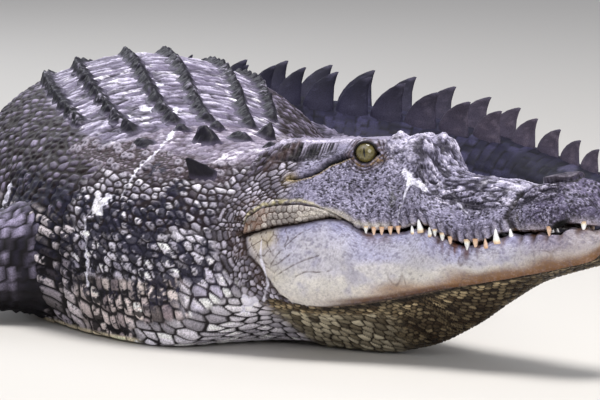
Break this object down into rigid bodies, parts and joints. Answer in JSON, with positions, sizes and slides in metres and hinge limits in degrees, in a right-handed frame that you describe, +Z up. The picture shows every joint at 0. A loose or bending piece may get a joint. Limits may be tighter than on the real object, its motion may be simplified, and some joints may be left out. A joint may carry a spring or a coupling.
{
  "type": "saltwater crocodile model",
  "caption": "Life-size saltwater crocodile lying on its belly, body curled to its left, head raised a little, mouth closed with teeth showing, tail crest swept round.",
  "frame": {"origin": "on the floor under the middle of the belly, on the centre line of the body", "axes": "+Z up; -Y the way the front of the body points, so the head lies towards -Y and +X and the tail curls round towards +X"},
  "size_m": [2.2826, 2.1652, 0.3948],
  "materials": {
    "hide": "dry scaly hide, dark lilac grey above and cream below",
    "jaw_hide": "smooth pale grey to cream skin of the lower jaw",
    "limb_hide": "scaly hide of the legs",
    "eye": "wet olive yellow eye with an upright pupil"
  },
  "bodies": {
    "root": {"skull_and_snout": "hide", "lower_jaw": "jaw_hide", "eye_right": "eye", "eye_left": "eye", "neck": "hide", "shoulders": "hide", "belly": "hide", "hips": "hide", "tail_root": "hide", "tail_front": "hide", "tail_middle": "hide", "tail_rear": "hide", "tail_tip": "hide", "front_leg_right_upper": "limb_hide", "front_leg_right_lower": "limb_hide", "front_leg_right_foot": "limb_hide", "front_leg_left_upper": "limb_hide", "front_leg_left_lower": "limb_hide", "front_leg_left_foot": "limb_hide", "hind_leg_right_upper": "limb_hide", "hind_leg_right_lower": "limb_hide", "hind_leg_right_foot": "limb_hide", "hind_leg_left_upper": "limb_hide", "hind_leg_left_lower": "limb_hide", "hind_leg_left_foot": "limb_hide"}
  },
  "joints": []
}
